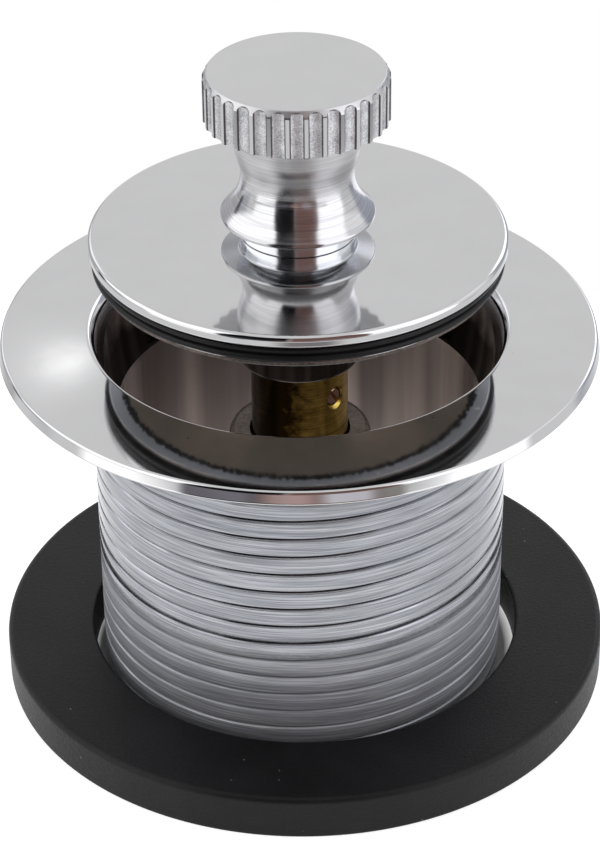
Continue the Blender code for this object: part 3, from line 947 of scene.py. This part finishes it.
    def screw(self) -> None:
        """Turns the set screw and cuts its slot."""
        head = self.post_radius - self.screw_sunk
        tip = head - self.screw_length
        grub = turn([
            Corner(0.0, head),
            Corner(self.screw_radius, head, self.screw_rounding),
            Corner(self.screw_radius, tip, CRISP),
            Corner(0.0, tip),
        ], closed=False, steps=self.screw_steps)
        slot = bmesh.new()
        bmesh.ops.create_cube(slot, size=1.0)
        size = (4 * self.screw_radius, self.slot_width, 2 * self.slot_depth)
        bmesh.ops.scale(slot, vec=size, verts=slot.verts)
        tilt = Matrix.Rotation(self.slot_tilt, 4, "Z")
        lift = Matrix.Translation((0.0, 0.0, head))
        bmesh.ops.transform(slot, matrix=lift @ tilt, verts=slot.verts)
        shape = carved(self.aimed(grub), self.aimed(slot))
        self.fit("slotted_screw", shape, ["screw"], "set_screw", "screw_steel")


@dataclass
class Stopper(Assembly):
    """Disc with its seal, backing plate, skirt and knob, which are lifted together."""

    body: Body = Body.STOPPER
    disc_radius: float = 0.0234
    disc_base: float = 0.0562
    disc_top: float = 0.0575
    seal_radius: float = 0.0231
    seal_base: float = 0.0543
    seal_top: float = 0.0559
    plate_radius: float = 0.0225
    plate_base: float = 0.0535
    plate_top: float = 0.0540
    plate_lip: float = 0.0014
    plate_dish: float = 0.0003
    dish_start: float = 0.0007
    dish_reach: float = 0.0012
    hub_radius: float = 0.00695
    hub_bore: float = 0.0057
    hub_base: float = 0.0416
    hub_roof: float = 0.0522
    hub_shoulder: float = 0.0532
    hub_rounding: float = 0.00035
    spigot_radius: float = 0.0045
    stud_hole: float = 0.0026
    stud_depth: float = 0.0068
    knob_base: float = 0.0578
    knob_top: float = 0.0770
    head_radius: float = 0.01025
    head_base: float = 0.0715
    chamfer_width: float = 0.0005
    chamfer_height: float = 0.0007
    band_radius: float = 0.00695
    band_base: float = 0.0683
    waist_radius: float = 0.0063
    waist_height: float = 0.0651
    crease_radius: float = 0.0076
    crease_height: float = 0.0612
    flare_radius: float = 0.0086
    flare_upper: float = 0.0601
    flare_lower: float = 0.05975
    foot_radius: float = 0.0065
    foot_top: float = 0.0592
    foot_base: float = 0.05754
    waist_facets: int = 16
    flare_facets: int = 20
    flutes: int = 32
    flute_facets: int = 40
    flute_depth: float = 0.00036
    flute_half_width: float = 0.00080
    flute_core: float = 0.8

    def build(self) -> None:
        """Builds every piece of the stopper."""
        self.knob()
        self.disc()
        self.seal()
        self.plate()
        self.hub()
        self.dress("stopper_rod", "brass")

    def flared(self) -> list[Corner]:
        """Bows the neck's wall from its waist, where it is upright, down to the flare's crease.

        Returns:
            The wall's corners, with its end and without the waist.
        """
        facets = self.flare_facets
        length = self.crease_height - self.waist_height
        rise = self.crease_radius - self.waist_radius
        bend = (length * length + rise * rise) / (2 * rise)
        sweep = math.asin(length / bend)
        return [
            Corner(
                self.waist_radius + bend * (1 - math.cos(sweep * facet / facets)),
                self.waist_height + bend * math.sin(sweep * facet / facets),
            )
            for facet in range(1, facets + 1)
        ]

    def drawn_in(self) -> list[Corner]:
        """Draws the neck's wall in from the band to the waist, upright at both ends.

        Returns:
            The wall's corners, with the waist and without the band's foot.
        """
        corners = []
        for facet in range(1, self.waist_facets + 1):
            share = facet / self.waist_facets
            eased = share * share * (3 - 2 * share)
            corners.append(Corner(
                self.band_radius + (self.waist_radius - self.band_radius) * eased,
                self.band_base + (self.waist_height - self.band_base) * share,
            ))
        return corners

    def knob(self) -> None:
        """Turns the knob, cuts its flutes and sorts its faces by finish."""
        body = turn([
            Corner(0.0, self.knob_top),
            Corner(self.head_radius - self.chamfer_width, self.knob_top, SUPPORT),
            Corner(self.head_radius, self.knob_top - self.chamfer_height, EASED),
            Corner(self.head_radius, self.head_base, HAIR),
            Corner(self.band_radius, self.head_base, CRISP),
            Corner(self.band_radius, self.band_base),
            *self.drawn_in(),
            *self.flared(),
            Corner(self.flare_radius, self.flare_upper, FINE),
            Corner(self.flare_radius, self.flare_lower, HAIR),
            Corner(self.foot_radius, self.foot_top, CRISP),
            Corner(self.foot_radius, self.foot_base, HAIR),
            Corner(self.stud_hole, self.foot_base),
            Corner(self.stud_hole, self.knob_base + self.stud_depth),
            Corner(0.0, self.knob_base + self.stud_depth),
        ], closed=False)
        tool = bmesh.new()
        middle = (self.head_base + self.knob_top) / 2
        for index in range(self.flutes):
            flute = bmesh.ops.create_cone(
                tool, cap_ends=True, segments=self.flute_facets, radius1=1.0, radius2=1.0,
                depth=self.knob_top - self.head_base + 2 * OVERRUN,
            )["verts"]
            bmesh.ops.scale(tool, vec=(self.flute_depth, self.flute_half_width, 1.0), verts=flute)
            out = Matrix.Translation((self.head_radius, 0.0, middle))
            around = Matrix.Rotation(index * 2 * math.pi / self.flutes, 4, "Z")
            bmesh.ops.transform(tool, matrix=around @ out, verts=flute)
        shape = carved(body, tool)

        def region(centre: Vector, normal: Vector) -> str:
            """Returns the finish of the foot, neck, chamfer, flutes, their sides in painted shade
            or the rest.
            """
            away = math.hypot(centre.x, centre.y)
            outward = (centre.x * normal.x + centre.y * normal.y) / max(away, TOLERANCE)
            if centre.z < self.head_base + TOLERANCE:
                return "foot" if centre.z < self.flare_lower and normal.z < UPRIGHT else "neck"
            if self.knob_top - self.chamfer_height < centre.z and UPRIGHT < normal.z < LEVEL:
                return "chamfer"
            step = 2 * math.pi / self.flutes
            bearing = math.remainder(math.atan2(centre.y, centre.x), step)
            sunk = away < self.head_radius - 0.2 * HAIR and abs(normal.z) < UPRIGHT
            if not sunk or outward <= 0.0:
                return "knob"
            # Faces on the flutes' side walls take a darker copy of the flutes' finish, as painted
            # shade.
            core = self.flute_half_width * self.flute_core
            return "flutes" if abs(away * bearing) < core else "flute_sides"

        looks = ("knob", "flutes", "flute_sides", "chamfer", "neck", "foot")
        self.fit("fluted_knob", shape, looks, "knob", "knob_chrome", region)

    def disc(self) -> None:
        """Turns the polished disc."""
        shape = turn([
            Corner(self.disc_radius, self.disc_top, FULL),
            Corner(self.disc_radius, self.disc_base, CRISP),
            Corner(self.stud_hole, self.disc_base),
            Corner(self.stud_hole, self.disc_top),
        ])
        self.fit("polished_disc", shape, ["mirror"], "stopper_disc", "disc_chrome")

    def seal(self) -> None:
        """Turns the rubber seal with its two lips."""
        middle = (self.seal_base + self.seal_top) / 2
        shape = turn([
            Corner(self.seal_radius, self.seal_top, CRISP),
            Corner(self.seal_radius, middle + SOFT, EASED),
            Corner(self.seal_radius - FULL, middle, FINE),
            Corner(self.seal_radius, middle - SOFT, EASED),
            Corner(self.seal_radius, self.seal_base, CRISP),
            Corner(self.spigot_radius + SOFT, self.seal_base),
            Corner(self.spigot_radius + SOFT, self.seal_top),
        ])
        self.fit("lipped_seal", shape, ["seal"], "seal", "seal_rubber")

    def plate(self) -> None:
        """Turns the thin plate behind the seal, with a dull edge."""
        dish = self.plate_base + self.plate_dish
        shape = turn([
            Corner(self.plate_radius, self.plate_top, HAIR),
            Corner(self.plate_radius, self.plate_base, SUPPORT),
            Corner(self.plate_radius - CRISP, self.plate_base),
            Corner(self.plate_radius - self.plate_lip, dish),
            Corner(self.hub_radius + self.dish_reach, dish),
            Corner(self.hub_radius + self.dish_start, self.plate_base),
            Corner(self.spigot_radius + SOFT, self.plate_base),
            Corner(self.spigot_radius + SOFT, self.plate_top),
        ])

        def region(centre: Vector, normal: Vector) -> str:
            """Returns the finish of both faces, the edge or the edge's rounded foot."""
            away = math.hypot(centre.x, centre.y)
            if away < self.plate_radius - HAIR:
                return "plate"
            return "edge" if away > self.plate_radius - 0.1 * HAIR else "mirror"

        looks = ("plate", "edge", "mirror")
        self.fit("backing_plate", shape, looks, "seal_retainer", "retainer_steel", region)

    def hub(self) -> None:
        """Turns the skirt that slides over the post."""
        shape = turn([
            Corner(self.spigot_radius, self.seal_top, HAIR),
            Corner(self.spigot_radius, self.hub_shoulder),
            Corner(self.hub_radius, self.hub_shoulder, CRISP),
            Corner(self.hub_radius, self.hub_base, self.hub_rounding),
            Corner(self.hub_bore, self.hub_base, HAIR),
            Corner(self.hub_bore, self.hub_roof),
            Corner(self.stud_hole, self.hub_roof),
            Corner(self.stud_hole, self.seal_top),
        ], steps=TUBE_STEPS)
        self.fit("skirt", shape, ["skirt"], "hub", "hub_chrome")


@dataclass
class FrictionRing(Assembly):
    """Rubber ring that drags in the post."""

    body: Body = Body.RING

    def build(self) -> None:
        """Dresses the ring with the rubber finish."""
        self.dress("friction_ring", "seal")


@dataclass
class Washer(Assembly):
    """Thick rubber washer lying loose round the barrel."""

    body: Body = Body.WASHER
    radius: float = 0.0357
    hole_radius: float = 0.02535
    thickness: float = 0.0054
    rounding: float = 0.0007
    drift: float = 0.00035

    def build(self) -> None:
        """Turns the washer and lays it a little off the drain's axis."""
        shape = turn([
            Corner(self.radius, self.thickness, self.rounding),
            Corner(self.radius, 0.0, SOFT),
            Corner(self.hole_radius, 0.0, CRISP),
            Corner(self.hole_radius, self.thickness, 2 * CRISP),
        ])
        bmesh.ops.translate(shape, vec=(self.drift, 0.0, 0.0), verts=shape.verts)
        self.fit("rubber_washer", shape, ["washer"], "shoe_washer", "washer_rubber")


@dataclass(frozen=True)
class Panel:
    """Part of the studio's walls. Angles are in degrees, with azimuth 0 in front of the drain."""

    azimuth: float
    elevation: float
    half_width: float
    half_height: float
    side_fade: float
    rise_fade: float
    colour: Colour


@dataclass
class Studio:
    """Pale floor, plain white backdrop, softboxes and dark gaps round the drain, and camera."""

    walls: Colour = (0.93, 0.93, 0.935)
    floor_radius: float = 0.095
    distance: float = 0.28035
    height: float = 0.21128
    pitch: float = 0.5701
    roll: float = -0.0103
    lens: float = 121.2
    sensor_height: float = 36.0
    clip_start: float = 0.01
    floor_colour: Colour = (0.6, 0.6, 0.6)
    floor_roughness: float = 0.9
    outer_glow: float = 0.7
    # Painted light inside the barrel, and the edges of the painted shade in the gap round the
    # barrel and of that light.
    throat_painted_light: float = 1.3
    gap_shade_edge: Range = (0.0245, 0.0262)
    throat_light_edge: Range = (0.0205, 0.0215)
    panels: tuple[Panel, ...] = (
        Panel(-62.0, 20.0, 21.0, 40.0, 4.0, 3.0, (1.9, 1.9, 1.9)),
        Panel(-112.0, 0.0, 11.0, 16.0, 4.0, 4.0, (0.60, 0.62, 0.66)),
        Panel(-100.0, 30.0, 24.0, 20.0, 5.0, 5.0, (1.9, 1.9, 1.9)),
        Panel(-122.0, 0.0, 4.0, 12.0, 2.0, 2.0, (0.08, 0.08, 0.10)),
        Panel(-146.0, 0.0, 18.0, 25.0, 4.0, 4.0, (0.60, 0.60, 0.62)),
        Panel(62.0, 20.0, 26.0, 40.0, 3.0, 3.0, (1.9, 1.9, 1.95)),
        Panel(105.0, 24.0, 20.0, 14.0, 5.0, 5.0, (1.2, 1.2, 1.22)),
        Panel(140.0, 2.0, 20.0, 24.0, 5.0, 5.0, (0.50, 0.53, 0.60)),
        Panel(150.0, 24.0, 14.0, 10.0, 3.0, 3.0, (2.3, 2.3, 2.4)),
        Panel(-150.0, 24.0, 10.0, 10.0, 3.0, 3.0, (1.5, 1.5, 1.6)),
        Panel(-23.5, 19.0, 18.5, 39.0, 2.5, 3.0, (0.012, 0.012, 0.014)),
        Panel(15.5, 19.0, 20.5, 39.0, 2.5, 3.0, (0.22, 0.13, 0.115)),
        Panel(-33.0, -24.5, 4.5, 3.0, 2.0, 1.5, (0.34, 0.34, 0.36)),
        Panel(57.0, -24.5, 3.5, 3.0, 2.0, 1.5, (0.45, 0.45, 0.46)),
        Panel(-78.0, -24.5, 4.0, 3.0, 2.0, 1.5, (0.40, 0.40, 0.42)),
        Panel(104.0, -24.5, 5.0, 3.0, 2.0, 1.5, (0.45, 0.45, 0.46)),
        Panel(5.0, -34.0, 16.0, 4.0, 8.0, 2.0, (0.16, 0.14, 0.14)),
        Panel(-72.0, -6.7, 15.0, 2.2, 7.0, 1.8, (0.50, 0.50, 0.52)),
        Panel(-38.0, -6.7, 22.0, 2.2, 6.0, 1.8, (0.27, 0.26, 0.29)),
        Panel(-4.0, -6.7, 9.0, 2.2, 6.0, 1.8, (0.62, 0.44, 0.42)),
        Panel(17.0, -6.7, 9.0, 2.2, 4.0, 1.8, (0.80, 0.78, 0.84)),
        Panel(41.0, -6.7, 14.0, 2.2, 5.0, 1.8, (0.38, 0.38, 0.36)),
        Panel(-170.9, 32.0, 1.0, 1.6, 1.3, 1.9, (1.15, 1.15, 1.16)),
        Panel(-171.1, 32.2, 0.45, 0.8, 0.7, 1.2, (2.0, 2.0, 2.0)),
    )

    def build(self) -> None:
        """Lays the floor, paints the walls and sets the camera."""
        self.lay_floor()
        self.paint_walls()
        self.set_camera()

    def lay_floor(self) -> None:
        """Lays a round white floor that glows, with painted light inside the barrel and painted
        shade under its wall and in the gap to the washer.
        """
        shape = bmesh.new()
        radius = self.floor_radius
        bmesh.ops.create_circle(shape, cap_ends=True, segments=TUBE_STEPS, radius=radius)
        graph = Skin("floor_white")
        # Painted shade: no glow under the barrel's wall and across the gap to the washer.
        outside = graph.span(graph.reach(), self.gap_shade_edge, 0.0, self.outer_glow)
        # Painted light: the floor inside the barrel glows brighter than outside, to light the
        # throat.
        inside = graph.span(graph.reach(), self.throat_light_edge, self.throat_painted_light, 0.0)
        glow = graph.total(outside, inside)
        lit = {"Emission Color": painted(WHITE), "Emission Strength": glow}
        material = graph.finish(self.floor_colour, self.floor_roughness, 0.0, lit)
        piece("floor", shape, [material])

    def fade(self, graph: Graph, offset: Any, half: float, soft: float) -> Any:
        """Returns the socket of 1 inside a half-width and 0 outside it, with a soft edge."""
        distance = graph.maths("ABSOLUTE", offset)
        return graph.span(distance, (half - soft, half + soft), 1.0, 0.0, "SMOOTHSTEP")

    def paint_walls(self) -> None:
        """Paints the world with the panels, each over the ones before it."""
        world = bpy.data.worlds.new("studio")
        bpy.context.scene.world = world
        graph = Graph(world)
        place = graph.node("ShaderNodeTexCoord", {}).outputs["Generated"]
        split = graph.node("ShaderNodeSeparateXYZ", {"Vector": place}).outputs
        front = graph.maths("MULTIPLY", split["Y"], -1.0)
        bearing = graph.maths("ARCTAN2", split["X"], front)
        azimuth = graph.maths("MULTIPLY", bearing, DEGREES)
        elevation = graph.maths("MULTIPLY", graph.maths("ARCSINE", split["Z"]), DEGREES)
        paint: Any = self.walls
        for panel in self.panels:
            turned = graph.maths("SUBTRACT", azimuth, panel.azimuth)
            wrapped = graph.maths("WRAP", turned, HALF_TURN, -HALF_TURN)
            across = self.fade(graph, wrapped, panel.half_width, panel.side_fade)
            raised = graph.maths("SUBTRACT", elevation, panel.elevation)
            upright = self.fade(graph, raised, panel.half_height, panel.rise_fade)
            paint = graph.mix(graph.maths("MULTIPLY", across, upright), paint, panel.colour)
        rays = graph.node("ShaderNodeLightPath", {}).outputs["Is Camera Ray"]
        light = graph.node("ShaderNodeBackground", {"Color": graph.mix(rays, paint, WHITE)})
        graph.node("ShaderNodeOutputWorld", {"Surface": light.outputs["Background"]})

    def set_camera(self) -> None:
        """Puts the camera in front of the drain, looking down on it."""
        data = bpy.data.cameras.new("camera")
        data.sensor_fit = "VERTICAL"
        data.sensor_height = self.sensor_height
        data.lens = self.lens
        data.clip_start = self.clip_start
        camera = bpy.data.objects.new("camera", data)
        place = Matrix.Translation((0.0, -self.distance, self.height))
        tilt = Matrix.Rotation(math.pi / 2 - self.pitch, 4, "X")
        lean = Matrix.Rotation(self.roll, 4, "Z")
        camera.matrix_world = place @ tilt @ lean
        bpy.context.scene.collection.objects.link(camera)
        bpy.context.scene.camera = camera
        bpy.context.scene.view_settings.view_transform = "Standard"


def make_finishes() -> dict[str, Material]:
    """Makes every finish of the drain.

    Returns:
        The materials by name.
    """
    finishes = {
        "chrome": Plated("flange_chrome"),
        "mirror": Plated("disc_chrome", roughness=0.05, smudge=0.02),
        "knob": Plated("knob_chrome", roughness=0.07, smudge=0.04),
        # The thread's roots take painted shade.
        "thread": Turned(
            "thread_chrome", (0.45, 0.46, 0.49), (0.255, 0.265, 0.295), 0.12, 60.0, 0.000005,
            root_shade_radius=0.0235, dull_below=0.0178, blotch=0.4,
        ),
        "neck": Turned("neck_chrome", CHROME, GREY, 0.10, 100.0, 0.000006, dull_above=0.0640),
        "foot": Plated("foot_chrome", (0.90, 0.92, 0.95), 0.14, 0.03),
        "chamfer": Plated("chamfer_chrome", (0.52, 0.52, 0.53), 0.38, 0.04),
        # The flutes take painted shade at their top ends.
        "flutes": Grained(
            "flute_chrome", (0.82, 0.82, 0.84), (0.26, 0.26, 0.28), 0.30, shade_above=0.0766,
        ),
        # A darker copy of the flutes' finish, as painted shade on their side walls.
        "flute_sides": Grained("flute_side_painted_shade", (0.16, 0.15, 0.16), (0.06, 0.055, 0.06), 0.30),
        # The bowl takes painted shade on its lower wall, and painted light with a rougher finish
        # on its upper wall.
        "bowl": Plated("bowl_chrome", CHROME, 0.08, 0.03, 0.0405, 0.0420),
        # Chrome darkened as painted shade, where the skirt hangs in shadow under the disc.
        "skirt": Plated("skirt_chrome_painted_shade", (0.14, 0.13, 0.125), 0.12, 0.05),
        "throat": Turned(
            "throat_brass", (0.62, 0.54, 0.51), (0.46, 0.38, 0.35), 0.42, 500.0, 0.00001,
            Axis.UPRIGHT, 0.6, blotch=0.75,
        ),
        "cast": Grained(
            "spider_cast", (0.30, 0.26, 0.23), (0.13, 0.11, 0.10), 0.42, 3000.0, 0.00006,
        ),
        "brass": Turned("rod_brass", BRASS, (0.40, 0.27, 0.05), 0.2, 110.0, 0.00003),
        # Painted shade down the post's left side.
        "post": Turned(
            "post_brass", (0.78, 0.58, 0.16), (0.42, 0.28, 0.05), 0.2, 110.0, 0.00003,
            side_shade=0.97,
        ),
        "screw": Turned("screw_copper", (0.80, 0.55, 0.47), (0.5, 0.3, 0.25), 0.2, 40.0, 0.00001),
        "plate": Ringed("plate_steel"),
        "edge": Grained(
            "plate_edge", (0.20, 0.17, 0.155), (0.05, 0.045, 0.04), 0.4, 3000.0, 0.00001,
        ),
        "nylon": Moulded("bush_nylon", (0.82, 0.80, 0.75), (0.74, 0.72, 0.67)),
        "seal": Rubber(
            "seal_rubber", (0.003, 0.003, 0.004), (0.008, 0.008, 0.009), 0.28, dust=0.7,
        ),
        "washer": Rubber(
            "washer_rubber", (0.0018, 0.0018, 0.0022), (0.005, 0.005, 0.0057), specular=0.22,
        ),
    }
    return {name: finish.material() for name, finish in finishes.items()}


def main() -> None:
    """Builds the drain's assemblies in order, then the studio."""
    logging.basicConfig(level=logging.INFO, format="%(relativeCreated)6.0f ms  %(message)s")
    finishes = make_finishes()
    for kind in (Drain, FrictionRing, Stopper, Washer):
        assembly = kind(finishes)
        assembly.build()
        assembly.report()
    Studio().build()
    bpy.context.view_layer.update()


if __name__ == "__main__":
    main()
